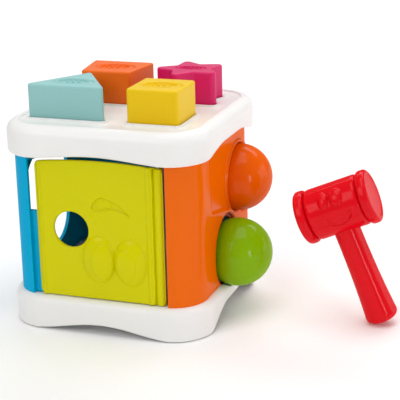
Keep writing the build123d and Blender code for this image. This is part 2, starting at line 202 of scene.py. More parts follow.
def brushed_steel(name):
    """Drawn steel rod and screws: grey metal with fine lengthwise scratches."""
    material, nodes, links, shader = new_material(name)
    place = nodes.new("ShaderNodeTexCoord")
    stretch = nodes.new("ShaderNodeMapping")
    stretch.inputs["Scale"].default_value = (900.0, 900.0, 40.0)
    scratch = nodes.new("ShaderNodeTexNoise")
    scratch.inputs["Scale"].default_value = 2.0
    ramp = nodes.new("ShaderNodeMapRange")
    ramp.inputs["To Min"].default_value = 0.22
    ramp.inputs["To Max"].default_value = 0.42
    links.new(place.outputs["Object"], stretch.inputs["Vector"])
    links.new(stretch.outputs["Vector"], scratch.inputs["Vector"])
    links.new(scratch.outputs["Fac"], ramp.inputs["Value"])
    links.new(ramp.outputs["Result"], shader.inputs["Roughness"])
    shader.inputs["Base Color"].default_value = (0.55, 0.55, 0.57, 1)
    shader.inputs["Metallic"].default_value = 1.0
    return material


def slot_of(node):
    """The record's material slot of a CAD node."""
    for entry in frame["record"]["subparts"]:
        if entry["node"] == node:
            return entry["material_slot"]
    raise ValueError("no slot for " + node)


def dress(piece, slot):
    """Gives a piece one finish."""
    piece.data.materials.clear()
    piece.data.materials.append(FINISHES[slot])


# ---- stage -----------------------------------------------------------------------
class StageSizes(bpy.types.PropertyGroup):
    """Camera"""

    azimuth: tilt("Azimuth", "Camera direction, turned from the front towards the right", 19.52)
    elevation: tilt("Elevation", "Camera height angle above the floor", 17.38)
    roll: tilt("Roll", "Camera tilt about its own axis", -1.29)
    distance: length("Distance", "Camera distance from the aim point", 925.9)
    aim_x: length("Aim across", "Aim point to the right of the cube's middle", 49.5)
    aim_z: length("Aim height", "Aim point above the floor", 80.8)
    lens: bpy.props.FloatProperty(
        name="Lens", description="Focal length in millimetres on a 36 mm sensor", default=115.4)


class CUBE_OT_stage(bpy.types.Operator):
    """Pale floor, soft lights and the camera"""

    bl_idname = "sorting_cube.stage"
    bl_label = "Stage"

    def execute(self, context):
        sizes = context.scene.cube_stage
        build_floor()
        build_lights(context.scene)
        build_camera(context.scene, sizes)
        return {"FINISHED"}


def build_camera(scene, sizes):
    """Camera on a sphere about the aim point: back, right and up follow the two angles."""
    turn, lift = sizes.azimuth, sizes.elevation
    back = Vector((math.sin(turn) * math.cos(lift), -math.cos(turn) * math.cos(lift), math.sin(lift)))
    right = Vector((math.cos(turn), math.sin(turn), 0))
    up = back.cross(right)
    across = right * math.cos(sizes.roll) + up * math.sin(sizes.roll)
    upward = up * math.cos(sizes.roll) - right * math.sin(sizes.roll)
    camera = bpy.data.objects.new("Camera", bpy.data.cameras.new("Camera"))
    scene.collection.objects.link(camera)
    camera.data.lens = sizes.lens
    camera.data.sensor_width = 36.0
    camera.data.clip_start = 0.01
    place = Vector((sizes.aim_x, 0, sizes.aim_z)) + back * sizes.distance
    facing = Matrix((across, upward, back)).transposed().to_4x4()
    camera.matrix_world = Matrix.Translation(place) @ facing
    scene.camera = camera


def build_floor():
    """Flat disc just below the feet: a level profile turned round Z."""
    inner, outer, below = MM, 6.0, 0.3 * MM
    radius = np.linspace(inner, outer, 12)
    points = turned(np.stack([radius, np.full_like(radius, -below)], axis=-1), 64)
    floor = grid_piece("studio_floor", [(points, True, False)])
    material, _, _, shader = new_material("Studio Floor")
    shader.inputs["Base Color"].default_value = (0.97, 0.97, 0.97, 1)
    shader.inputs["Roughness"].default_value = 0.75
    floor.data.materials.append(material)


def area_light(scene, name, place, aim, size, power):
    """Soft rectangular lamp at a place, turned to an aim point."""
    lamp = bpy.data.lights.new(name, "AREA")
    lamp.shape = "RECTANGLE"
    lamp.size, lamp.size_y = size
    lamp.energy = power
    holder = bpy.data.objects.new(name, lamp)
    scene.collection.objects.link(holder)
    holder.location = place
    direction = Vector(aim) - Vector(place)
    holder.rotation_euler = direction.to_track_quat("-Z", "Y").to_euler()


def build_lights(scene):
    """Softboxes above, in front and at the right, a low strip, a far floor wash, an even room."""
    middle = (0.05, 0.0, 0.08)
    area_light(scene, "Softbox Top", (0.1, -0.1, 1.3), middle, (1.0, 1.0), 8.0)
    area_light(scene, "Softbox Front", (-0.5, -1.2, 1.0), middle, (0.9, 0.9), 6.5)
    area_light(scene, "Softbox Right", (1.2, 0.45, 0.32), middle, (0.9, 0.6), 3.4)
    area_light(scene, "Strip Right", (1.06, -0.67, 0.22), middle, (0.16, 0.4), 1.8)
    area_light(scene, "Back Wash", (0.0, 1.9, 1.7), (0.0, 2.4, 0.0), (2.4, 1.6), 45.0)
    world = bpy.data.worlds.new("Studio Room")
    world.use_nodes = True
    backdrop = world.node_tree.nodes["Background"]
    backdrop.inputs["Color"].default_value = (1.0, 1.0, 1.0, 1)
    backdrop.inputs["Strength"].default_value = 0.34
    scene.world = world
    scene.view_settings.view_transform = "Standard"


# ---- mesh building ---------------------------------------------------------------
WELD = 0.001 * MM           # points closer than this become one
LEVEL = 0.01 * MM           # a border this close to a height lies level with it
SHARP = math.radians(50)    # edges that turn more than this stay crisp


def grid_faces(rows, cols, wrap_across, wrap_down):
    """Corner numbers of the quads between neighbouring points of a grid."""
    index = np.arange(rows * cols).reshape(rows, cols)
    if wrap_across:
        index = np.concatenate([index, index[:, :1]], axis=1)
    if wrap_down:
        index = np.concatenate([index, index[:1]], axis=0)
    corners = (index[:-1, :-1], index[:-1, 1:], index[1:, 1:], index[1:, :-1])
    return np.stack(corners, axis=-1).reshape(-1, 4)


def grid_piece(name, grids, weld=WELD, flats=()):
    """One mesh object from point grids (points, wrap across, wrap down), in metres.

    Shared border points merge, each height in flats has its open borders filled level, and the
    normals are turned outwards.
    """
    points, faces, start = [], [], 0
    for grid, wrap_across, wrap_down in grids:
        rows, cols = grid.shape[:2]
        points.append(grid.reshape(-1, 3))
        faces.append(grid_faces(rows, cols, wrap_across, wrap_down) + start)
        start += rows * cols
    mesh = bpy.data.meshes.new(name)
    mesh.from_pydata(np.concatenate(points).tolist(), [], np.concatenate(faces).tolist())
    shaped = bmesh.new()
    shaped.from_mesh(mesh)
    bmesh.ops.remove_doubles(shaped, verts=shaped.verts, dist=weld)
    for height in flats:
        rim = [edge for edge in shaped.edges if edge.is_boundary
               and all(abs(vert.co.z - height) < LEVEL for vert in edge.verts)]
        bmesh.ops.triangle_fill(shaped, use_beauty=True, edges=rim)
    bmesh.ops.recalc_face_normals(shaped, faces=shaped.faces)
    shaped.to_mesh(mesh)
    shaped.free()
    mesh.shade_smooth()
    mesh.set_sharp_from_angle(angle=SHARP)
    piece = bpy.data.objects.new(name, mesh)
    bpy.context.scene.collection.objects.link(piece)
    return piece


def settle(piece, body, slot, *nodes):
    """Puts a piece on its body with its finish, in place of the CAD nodes it stands for."""
    dress(piece, slot)
    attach(piece, body)
    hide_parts(*nodes)


def ball_place(name):
    """Middle and radius of a ball, whose outer half starts at the plane through its middle."""
    low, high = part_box(name + "_ball_outer_half")
    middle = Vector((low.x, (low.y + high.y) / 2, (low.z + high.z) / 2))
    return middle, (high.y - low.y) / 2


# ---- shared curves ---------------------------------------------------------------
def smooth_step(value, low, high):
    """Rises smoothly from 0 at low to 1 at high."""
    share = np.clip((value - low) / (high - low), 0, 1)
    return share * share * (3 - 2 * share)


def arc(centre, radius, start, end, steps=9):
    """Points of an arc: centre + radius * (cos, sin) of the angle from start to end degrees."""
    angle = np.radians(np.linspace(start, end, steps))
    return np.stack([centre[0] + radius * np.cos(angle), centre[1] + radius * np.sin(angle)], axis=-1)


def rounded_rectangle(half_across, half_up, corner, inset, steps=(48, 14)):
    """Loops of a rounded rectangle, one row per inset: centre + (corner - inset) * direction.

    Along a side the centre moves and the direction stands still, and round a corner the
    direction turns and the centre stands still.
    """
    marks = np.arange(9)
    place = np.concatenate([index + np.arange(count) / count for index, count in enumerate(steps * 4)])
    across = np.interp(place, marks, (half_across - corner) * np.array([-1, 1, 1, 1, 1, -1, -1, -1, -1]))
    up = np.interp(place, marks, (half_up - corner) * np.array([-1, -1, -1, 1, 1, 1, 1, -1, -1]))
    angle = np.radians(np.interp(place, marks, [-90, -90, 0, 0, 90, 90, 180, 180, 270]))
    reach = corner - np.asarray(inset)[..., None]
    return across + reach * np.cos(angle), up + reach * np.sin(angle)


def rounded_polygon(corners, radii, grow, steps=(8, 16)):
    """Loop round a polygon with rounded corners, grown outwards.

    A corner's arc is centre + signed radius * direction, with the radius minus at a hollow
    corner, and straight runs are filled in evenly between the arcs.
    """
    least = 0.3 * MM
    corners = np.asarray(corners, dtype=float)
    ahead = np.roll(corners, -1, axis=0) - corners
    ahead /= np.linalg.norm(ahead, axis=1)[:, None]
    behind = np.roll(ahead, 1, axis=0)
    out_next = np.stack([ahead[:, 1], -ahead[:, 0]], axis=-1)
    out_last = np.stack([behind[:, 1], -behind[:, 0]], axis=-1)
    share = 1 + (out_next * out_last).sum(axis=1)
    mitre = (out_next + out_last) / share[:, None]
    turn = np.arctan2(behind[:, 0] * ahead[:, 1] - behind[:, 1] * ahead[:, 0],
                      (behind * ahead).sum(axis=1))
    radii = np.broadcast_to(radii, len(corners))
    signed = np.where(turn > 0, radii + grow, -np.maximum(radii - grow, least))
    centres = corners + mitre * (grow - signed)[:, None]
    start = np.arctan2(out_last[:, 1], out_last[:, 0])
    angle = start[:, None] + turn[:, None] * np.linspace(0, 1, steps[0])[None, :]
    arcs = centres[:, None, :] + signed[:, None, None] * np.stack([np.cos(angle), np.sin(angle)], axis=-1)
    along = np.linspace(0, 1, steps[1] + 1)[1:-1][None, :, None]
    runs = arcs[:, -1:, :] * (1 - along) + np.roll(arcs, -1, axis=0)[:, :1, :] * along
    return np.concatenate([arcs, runs], axis=1).reshape(-1, 2)


def swept(outline, rows):
    """Grid over an outline: each row is its loop grown by the first number, at the second's height."""
    corners, radii, steps = outline
    loops = np.stack([rounded_polygon(corners, radii, row[0], steps) for row in rows])
    heights = np.broadcast_to(rows[:, 1:2], loops.shape[:2])
    return np.concatenate([loops, heights[..., None]], axis=-1)


def lift_profile(profile, across, up, arch):
    """Grid from loops (rows, columns) and a profile of (inset, height, share of the arch)."""
    height = profile[:, 1:2] + profile[:, 2:3] * arch
    return np.stack([across, up, np.broadcast_to(height, across.shape)], axis=-1)


def with_share(points, share):
    """Adds a column that says how far each profile point follows the arch."""
    return np.concatenate([points, np.full((len(points), 1), share)], axis=1)


def turned(profile, columns=96):
    """Grid of a profile (radius, height) turned round Z: radius * (cos, sin) of the column's angle."""
    angle = np.linspace(0, 2 * math.pi, columns, endpoint=False)[None, :]
    radius, height = profile[:, 0:1], profile[:, 1:2]
    return np.stack([radius * np.cos(angle), radius * np.sin(angle), height + 0 * angle], axis=-1)


def along_x(profile, columns=160):
    """Grid of a profile (radius, place) turned round X: angle 0 looks forward, 90 up."""
    grid = turned(profile, columns)
    return np.stack([grid[..., 2], -grid[..., 0], grid[..., 1]], axis=-1)


def side_arches(across, up, front_rise, side_rise):
    """Rise of an edge between the feet, nothing at the corners.

    On front and back it is the squared cosine of a quarter turn * distance / hump reach. On the
    two sides it is a smooth step from the shoulder's foot to the flat top, to the power 0.6.
    """
    hump_reach, shoulder_foot, flat_top = 56 * MM, 50 * MM, 15 * MM
    along = np.minimum(np.abs(across), np.abs(up))
    hump = np.cos(np.clip(along / hump_reach, 0, 1) * math.pi / 2) ** 2
    plateau = smooth_step(-along, -shoulder_foot, -flat_top) ** 0.6
    return np.where(np.abs(across) > np.abs(up), side_rise * plateau, front_rise * hump)


# ---- tray and lid ----------------------------------------------------------------
class TraySizes(bpy.types.PropertyGroup):
    """Base tray and lid"""

    corner: length("Corner", "Plan corner radius of tray and lid", 30)
    skirt: length("Tray skirt", "Thickness of the skirt round the tray", 3.6)
    tray_shoulder: length("Tray shoulder", "Rounding of the tray's rim", 5)
    tray_floor: length("Tray floor", "Upper side of the tray floor above the table", 15.6)
    tray_under: length("Tray underside", "Lower side of the tray floor above the table", 13)
    well: length("Well", "Rim width from the outside to the well", 10.8)
    foot_front: length("Front arch", "Rise of the edge between the feet, front and back", 6.6)
    foot_side: length("Side arch", "Rise of the edge between the feet, left and right", 12.2)
    lid_shoulder: length("Lid shoulder", "Rounding of the lid's upper edge", 8)
    lid_skirt: length("Lid skirt", "Thickness of the lid's skirt", 4.8)
    lid_plate: length("Lid plate", "Thickness of the lid's top plate", 3)
    lid_front: length("Lid front arch", "Rise of the skirt's edge, front and back", 3.6)
    lid_side: length("Lid side arch", "Rise of the skirt's edge, left and right", 5)
    field: length("Field", "Depth of the field inside the lid's rim", 1.2)
    border: length("Border", "Width of the lid's rim", 9)
    collar: length("Collar", "Width of the raised collar round each hole", 2.0)
    gap: length("Hole gap", "Room between a block and its hole", 0.4)


class CUBE_OT_tray(bpy.types.Operator):
    """White base tray with arched skirt, rim, well and middle pad"""

    bl_idname = "sorting_cube.tray"
    bl_label = "Base Tray"

    def execute(self, context):
        sizes = context.scene.cube_tray
        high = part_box("base_tray")[1]
        half, top = high.x, high.z
        shoulder, foot, lip = sizes.tray_shoulder, sizes.skirt / 2, 0.8 * MM
        # Inset, height and share of the arch, from the well over the rim and round the foot
        outside = np.concatenate([
            with_share([[sizes.well, sizes.tray_floor], [sizes.well, top - lip]], 0),
            with_share(arc((sizes.well - lip, top - lip), lip, 0, 90), 0),
            with_share(arc((shoulder, top - shoulder), shoulder, 90, 180), 0),
            [[0, top * 0.55, 0.25], [0, foot * 2, 0.9]],
            with_share(arc((foot, foot), foot, 180, 360, 13), 1),
            [[sizes.skirt, sizes.tray_under, 0]]])
        across, up = rounded_rectangle(half, half, sizes.corner, outside[:, 0])
        arch = side_arches(across, up, sizes.foot_front, sizes.foot_side)
        shell = lift_profile(outside, across, up, arch)
        inner_rows = 8      # the inner half of the foot's curve and the skirt's top
        inner = shell[-inner_rows:, :, 2]
        inner[:] = np.minimum(inner, sizes.tray_under)
        self.cup(shell, half, sizes)
        pad, soft = 9 * MM, 0.6 * MM
        pad_profile = np.concatenate([[[0, sizes.tray_under], [pad, sizes.tray_under]],
                                      arc((pad - soft, soft), soft, 0, -90), [[0, 0]]])
        grids = [(shell, True, False), (turned(pad_profile), True, False)]
        piece = grid_piece("tray_shell", grids, flats=(sizes.tray_floor, sizes.tray_under))
        settle(piece, "cube", "white_plastic", "base_tray")
        return {"FINISHED"}

    def cup(self, shell, half, sizes):
        """Sinks the rim below the lower ball: at most the ball's middle height less the root of
        (squared radius with its gap - squared distance beside the middle)."""
        middle, radius = ball_place("lower")
        gap = 0.5 * MM
        beside = np.clip(np.abs(shell[..., 1] - middle.y), 0, radius)
        limit = middle.z - np.sqrt((radius + gap) ** 2 - beside ** 2)
        rim = (shell[..., 0] > half - 2 * sizes.well) & (shell[..., 2] > sizes.tray_floor + MM)
        shell[..., 2] = np.where(rim, np.minimum(shell[..., 2], limit), shell[..., 2])


class CUBE_OT_lid(bpy.types.Operator):
    """White lid with soft shoulder, waved skirt, sunk field and a collar round each hole"""

    bl_idname = "sorting_cube.lid"
    bl_label = "Lid"

    def execute(self, context):
        sizes, blocks = context.scene.cube_tray, context.scene.cube_blocks
        low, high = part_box("top_lid")
        half, top, bottom = high.x, high.z, low.z
        under, field = top - sizes.lid_plate, top - sizes.field
        shoulder, edge = sizes.lid_shoulder, sizes.lid_skirt / 2
        brim_slope, collar_slope, hole_edge = 1.2 * MM, 0.3 * MM, 0.5 * MM
        brim_start = sizes.border - 0.5 * MM
        step = np.linspace(1, 0, 6)
        brim = np.stack([brim_start + step * brim_slope,
                         top - sizes.field * smooth_step(step, 0, 1)], axis=-1)
        # Inset, height and share of the arch, from the field over the shoulder and round the edge
        outside = np.concatenate([
            with_share(brim, 0),
            with_share(arc((shoulder, top - shoulder), shoulder, 90, 180, 12), 0),
            [[0, bottom + edge * 2.4, 0.7], [0, bottom + edge * 1.4, 0.95]],
            with_share(arc((edge, bottom + edge), edge, 180, 360, 15), 1),
            [[sizes.lid_skirt, under, 0]]])
        across, up = rounded_rectangle(half, half, sizes.corner, outside[:, 0])
        arch = side_arches(across, up, sizes.lid_front, sizes.lid_side)
        grids = [(lift_profile(outside, across, up, arch), True, False)]
        collar = sizes.gap + sizes.collar
        step = step[:4]
        # Growth and height, from the field up the collar and down through the hole
        rows = np.concatenate([
            np.stack([collar + collar_slope * step,
                      field + sizes.field * smooth_step(1 - step, 0, 0.6)], axis=-1),
            [[collar - collar_slope, top]],
            arc((sizes.gap + hole_edge, top - hole_edge), hole_edge, 90, 180, 5),
            [[sizes.gap, under]]])
        for name in BLOCK_SLOTS:
            grids.append((swept(block_outline(name, blocks), rows), True, False))
        piece = grid_piece("lid_shell", grids, flats=(field, under))
        settle(piece, "cube", "white_plastic", "top_lid")
        return {"FINISHED"}


# ---- blocks ----------------------------------------------------------------------
BLOCK_SLOTS = {"triangle": "teal_plastic", "square": "yellow_plastic",
               "trapezoid": "amber_plastic", "star": "magenta_plastic"}


class BlockSizes(bpy.types.PropertyGroup):
    """Blocks"""

    edge: length("Upright edge", "Rounding of the upright edges", 2.2)
    rim: length("Top edge", "Rounding of the top edges", 1.5)
    triangle_side: length("Triangle side", "Front side of the triangle", 60)
    triangle_depth: length("Triangle depth", "Front side to the back corner", 47.5)
    square_side: length("Square side", "Side of the square", 37.4)
    trapezoid_front: length("Trapezoid front", "Front side of the trapezoid", 37)
    trapezoid_back: length("Trapezoid back", "Back side of the trapezoid", 48)
    trapezoid_depth: length("Trapezoid depth", "Front to back of the trapezoid", 38)
    star_reach: length("Star reach", "Middle to the sharp tip of the star", 29.1)
    star_waist: length("Star waist", "Middle to the hollow corner of the star", 15)
    star_tip: length("Star tip", "Rounding of the star's tips", 3.6)
    star_turn: tilt("Star turn", "Turn of the star about its middle", 8)
    badge_length: length("Badge length", "Long way of the oval badge", 26)
    badge_width: length("Badge width", "Short way of the oval badge", 14)
    badge_depth: length("Badge depth", "Depth of the badge's sunk ground", 1.6)


def block_centre(name):
    """Middle of a block's box."""
    low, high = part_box(name + "_block_shell")
    return np.array([(low.x + high.x) / 2, (low.y + high.y) / 2])


def block_outline(name, sizes):
    """Sharp corners of a block, their rounding radii, and the steps round and along them."""
    if name == "star":
        index = np.arange(10)
        reach = np.where(index % 2 == 0, sizes.star_reach, sizes.star_waist)
        angle = math.pi + sizes.star_turn + index * math.pi / 5
        shape = np.stack([reach * np.cos(angle), reach * np.sin(angle)], axis=-1)
        radii = np.where(index % 2 == 0, sizes.star_tip, sizes.edge)
        steps = (7, 9)
    elif name == "triangle":
        half, deep = sizes.triangle_side / 2, sizes.triangle_depth / 2
        shape, radii, steps = np.array([[-half, -deep], [half, -deep], [0, deep]]), sizes.edge, (9, 36)
    elif name == "square":
        half = sizes.square_side / 2
        shape, radii, steps = half * np.array([[-1, -1], [1, -1], [1, 1], [-1, 1]]), sizes.edge, (9, 24)
    else:
        front, back, deep = sizes.trapezoid_front / 2, sizes.trapezoid_back / 2, sizes.trapezoid_depth / 2
        shape = np.array([[-front, -deep], [front, -deep], [back, deep], [-back, deep]])
        radii, steps = sizes.edge, (9, 24)
    loop = rounded_polygon(shape, radii, 0.0, steps)
    boxed = (loop.max(axis=0) + loop.min(axis=0)) / 2
    return shape + block_centre(name) - boxed, radii, steps


def badge_height(across, up, half_long, half_wide, depth, pips):
    """Ground sunk inside an oval, a groove round it, and a row of round pips standing on it.

    The oval measure is 1 on the badge's rim. The groove is a bell curve of that measure, and a
    pip is a smooth step down from its middle, as high as the ground is deep.
    """
    groove, groove_width = 1.16, 0.07
    oval = np.sqrt((across / half_long) ** 2 + (up / half_wide) ** 2)
    height = -depth * smooth_step(-oval, -0.97, -0.87)
    height -= 0.75 * depth * np.exp(-((oval - groove) / groove_width) ** 2)
    pitch = half_long * 0.33
    pip = pitch * 0.33
    for index in range(pips):
        place = (index - (pips - 1) / 2) * pitch
        away = np.sqrt((across - place) ** 2 + up ** 2) / pip
        height += depth * smooth_step(-away, -1.15, -0.6)
    return height


class CUBE_OT_blocks(bpy.types.Operator):
    """Four drop-in blocks with soft edges and an oval badge of pips"""

    bl_idname = "sorting_cube.blocks"
    bl_label = "Blocks"

    def execute(self, context):
        sizes = context.scene.cube_blocks
        for name, slot in BLOCK_SLOTS.items():
            self.block(name, slot, sizes)
        return {"FINISHED"}

    def block(self, name, slot, sizes):
        """Outline loops up the side and over the edge, then loops that turn into the badge's oval
        and shrink to its middle."""
        low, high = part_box(name + "_block_shell")
        outline = block_outline(name, sizes)
        corners = outline[0]
        rim, wall, sill, soft = sizes.rim, 2 * MM, low.z + 2.4 * MM, 0.4 * MM
        rows = np.concatenate([
            [[-wall, sill], [-wall, low.z], [-soft, low.z], [0, low.z + soft], [0, high.z - 2 * rim]],
            arc((-rim, high.z - rim), rim, 0, 90, 7)])
        side = swept(outline, rows)
        edge = side[-1, :, :2]
        centre = corners.mean(axis=0)
        share, pips = (0.75, 5) if name == "star" else (1.0, len(corners))
        long, wide = share * sizes.badge_length / 2, share * sizes.badge_width / 2
        angle = np.arctan2(edge[:, 1] - centre[1], edge[:, 0] - centre[0])
        reach = 1 / np.sqrt((np.cos(angle) / long) ** 2 + (np.sin(angle) / wide) ** 2)
        oval = np.stack([reach * np.cos(angle), reach * np.sin(angle)], axis=-1)
        border = 1.3
        blend = np.linspace(0, 1, 8)[:, None, None]
        outer = edge * (1 - blend) + (centre + border * oval) * blend
        shrink = np.linspace(border, 0, 56)[1:, None, None]
        top = np.concatenate([outer, centre + shrink * oval])
        local = top - centre
        rise = badge_height(local[..., 0], local[..., 1], long, wide, sizes.badge_depth, pips)
        lid = np.concatenate([top, (high.z + rise)[..., None]], axis=-1)
        piece = grid_piece(name + "_block", [(side, True, False), (lid, True, False)], flats=(sill,))
        settle(piece, name + "_block", slot, name + "_block_shell")


# ---- door ------------------------------------------------------------------------
# Middle and half size of each dome on the door's face, across and up, in millimetres
LEFT_EYE, LEFT_PUPIL = ((-1.2, 54.3), (12.2, 17.2)), ((2.4, 53.2), (7.9, 13.4))
RIGHT_EYE, RIGHT_PUPIL = ((22.4, 53.8), (12.0, 17.0)), ((19.4, 52.0), (8.1, 11.8))
TONGUE = ((1.9, 94.4), (4.3, 4.2)), ((6.5, 94.8), (3.6, 3.1))


class DoorSizes(bpy.types.PropertyGroup):
    """Front door"""

    corner: length("Corner", "Rounding of the door's four corners", 4)
    crown: length("Crown", "Extra height of the top edge at its middle", 2.6)
    panel: length("Panel", "Thickness of the panel", 2.2)
    barrel: length("Barrel", "Radius of the hinge barrel", 3.4)
    barrel_inset: length("Barrel inset", "Hinge axis to the door's edge", 3.6)
    hole: length("Finger hole", "Radius of the finger hole", 13)
    hole_x: length("Hole across", "Finger hole from the cube's middle", -21.5)
    hole_z: length("Hole height", "Finger hole above the table", 74.3)
    eye_bulge: length("Eye bulge", "Height of the two eye domes", 4.3)
    mouth: length("Mouth", "Depth of the crescent mouth", 1.1)


def dome(x, z, middle, half, power=0.5):
    """Dome over an ellipse: (1 - squared ellipse measure) to a power, nothing outside."""
    measure = ((x - middle[0] * MM) / (half[0] * MM)) ** 2 + ((z - middle[1] * MM) / (half[1] * MM)) ** 2
    return np.clip(1 - measure, 0, 1) ** power


def door_relief(x, z, sizes, left, hinge):
    """Height of the door's face: two eyes with pupils, a crescent mouth with a tongue, a cheek,
    two upright ribs, a turned-back free edge and the fall beside the barrel.

    The mouth lies along height = peak - bend * squared distance from the peak. Its half thickness
    is a quarter ellipse left of the widest place, and falls as a power of the distance right of it.
    """
    eyes = [sizes.eye_bulge * dome(x, z, *eye, 0.6) + MM * dome(x, z, *pupil, 0.3)
            for eye, pupil in ((LEFT_EYE, LEFT_PUPIL), (RIGHT_EYE, RIGHT_PUPIL))]
    height = np.maximum(*eyes)
    peak_x, peak_z, bend = 5.7 * MM, 94.4 * MM, 24.6
    widest, half_thick, head_long, tail_long = 2.4 * MM, 5.4 * MM, 7.6 * MM, 24 * MM
    line = peak_z - bend * (x - peak_x) ** 2
    head = half_thick * np.sqrt(np.clip(1 - ((widest - x) / head_long) ** 2, 0, 1))
    tail = half_thick * np.clip(1 - (x - widest) / tail_long, 0, 1) ** 1.25
    thick = np.where(x < widest, head, tail)
    height -= sizes.mouth * smooth_step(thick - np.abs(z - line), 0, 0.8 * MM)
    height += 1.1 * sizes.mouth * np.maximum(dome(x, z, *TONGUE[0]), dome(x, z, *TONGUE[1]))
    cheek_x, cheek_z, lean_cos, lean_sin = x + 6.2 * MM, z - 84.6 * MM, 0.82, 0.57
    height += 0.7 * MM * dome(lean_cos * cheek_x + lean_sin * cheek_z,
                              lean_cos * cheek_z - lean_sin * cheek_x, (0, 0), (2.3, 6.2))
    left_rib, right_rib, edge_fall = left + 3.9 * MM, hinge - 6.4 * MM, 1.6 * MM
    for rib, width in ((left_rib, 1.3 * MM), (right_rib, 1.5 * MM)):
        height += 1.3 * MM * np.exp(-((x - rib) / width) ** 2)
    height -= edge_fall * smooth_step(-x, -left_rib, 1.2 * MM - left)
    beside = np.clip(np.abs(x - hinge) / sizes.barrel, 0, 1)
    fall = sizes.barrel * (1 - np.sqrt(1 - beside ** 2)) + 0.3 * MM
    return np.where(x > hinge - sizes.barrel, -np.minimum(fall, edge_fall), height)


class CUBE_OT_door(bpy.types.Operator):
    """Lime door: a sheet ruled from the finger hole to the outline, with its relief, and the barrel"""

    bl_idname = "sorting_cube.door"
    bl_label = "Front Door"

    def execute(self, context):
        sizes = context.scene.cube_door
        low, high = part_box("front_door")
        rod_radius, bore, soft, bevel = 1.5 * MM, 1.65 * MM, 0.4 * MM, 0.3 * MM
        barrel_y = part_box("door_hinge_rod")[0].y + rod_radius
        face = barrel_y - sizes.barrel
        back = face + sizes.panel
        half_across, half_up = (high.x - low.x) / 2, (high.z - low.z - sizes.crown) / 2
        middle_x, middle_z = (high.x + low.x) / 2, low.z + half_up
        hinge = high.x - sizes.barrel_inset

        def loops(insets):
            """Outline rows; heights stretch with the crown: 1 + crown * (1 - squared share)."""
            across, up = rounded_rectangle(half_across, half_up, sizes.corner,
                                           np.asarray(insets), (118, 20))
            arch = 1 - (across / half_across) ** 2
            up = (up + half_up) * (1 + arch * sizes.crown / (2 * half_up)) - half_up
            return middle_x + across, middle_z + up

        rim = arc((MM, MM), MM, 270, 180, 5)
        edge_x, edge_z = loops(rim[:, 0])
        angle = np.arctan2(edge_z[0] - sizes.hole_z, edge_x[0] - sizes.hole_x)
        round_x = sizes.hole_x + sizes.hole * np.cos(angle)
        round_z = sizes.hole_z + sizes.hole * np.sin(angle)
        share = np.linspace(0, 1, 140)[:, None]
        x = round_x * (1 - share) + edge_x[0] * share
        z = round_z * (1 - share) + edge_z[0] * share
        relief = door_relief(x, z, sizes, low.x, hinge)
        from_hole = np.hypot(x - sizes.hole_x, z - sizes.hole_z) - sizes.hole
        hole_fall = 0.8 * MM
        relief -= hole_fall * (1 - smooth_step(from_hole, 0, MM))
        front = np.stack([x, face - relief, z], axis=-1)
        edge_y = front[-1, :, 1] + rim[:, 1:2]
        edge = np.stack([edge_x, np.minimum(edge_y, back - bevel), edge_z], axis=-1)
        back_x, back_z = loops([0, soft])
        back_y = np.array([[back - bevel], [back]]) + 0 * back_x
        behind = np.stack([back_x, back_y, back_z], axis=-1)
        hole = np.stack([round_x, back + 0 * round_x, round_z], axis=-1)[None]
        sheet = np.concatenate([front, edge[1:], behind[1:], hole, front[:1]])
        barrel_top = high.z - sizes.crown
        ends = np.concatenate([
            [[bore, low.z + MM], [bore, low.z]],
            arc((sizes.barrel - soft, low.z + soft), soft, 270, 360, 4),
            arc((sizes.barrel - soft, barrel_top - soft), soft, 0, 90, 4),
            [[bore, barrel_top], [bore, low.z + MM]]])
        barrel = turned(ends, 48) + np.array([hinge, barrel_y, 0])
        piece = grid_piece("door_panel", [(sheet, True, False), (barrel, True, False)], weld=2 * WELD)
        settle(piece, "door", "lime_plastic", "front_door")
        return {"FINISHED"}


# ---- balls -----------------------------------------------------------------------
class CUBE_OT_balls(bpy.types.Operator):
    """Two balls, each with the fine seam where its halves meet"""

    bl_idname = "sorting_cube.balls"
    bl_label = "Balls"

    def execute(self, context):
        seam_depth, seam_width = 0.08 * MM, 0.25 * MM
        for name, slot in (("upper", "orange_ball_plastic"), ("lower", "green_ball_plastic")):
            middle, radius = ball_place(name)
            from_pole = np.linspace(0, math.pi, 181)
            seam = np.exp(-((from_pole - math.pi / 2) * radius / seam_width) ** 2)
            reach = radius - seam_depth * seam
            points = along_x(np.stack([reach * np.sin(from_pole), reach * np.cos(from_pole)], axis=-1), 128)
            piece = grid_piece(name + "_ball", [(points + np.array(middle), True, False)])
            settle(piece, name + "_ball", slot, name + "_ball_outer_half", name + "_ball_inner_half")
        return {"FINISHED"}


# ---- hammer ----------------------------------------------------------------------
class HammerSizes(bpy.types.PropertyGroup):
    """Hammer"""

    lean: tilt("Lean", "Handle's lean towards the cube", 22.5)
    turn: tilt("Turn", "Turn about the upright", 3.8)
    foot_x: length("Foot across", "Handle end from the cube's middle, to the right", 184.45)
    foot_y: length("Foot back", "Handle end from the cube's middle, to the back", 2.8)
    head_radius: length("Head radius", "Radius of the barrel", 18.2)
    head_half: length("Head half", "Half length of the barrel between the end beads", 19.6)
    bead_radius: length("Bead radius", "Radius over the end beads", 19.2)
    bead_thick: length("Bead thickness", "Thickness of an end bead", 7.3)
    height: length("Height", "Handle end to the head's axis", 87.6)
    grip_end: length("Grip end", "Radius of the handle at its end", 11.6)
    grip_neck: length("Grip neck", "Radius of the handle at the head", 9.3)
    grip_round: length("Grip rounding", "Rounding of the handle's end", 4.5)


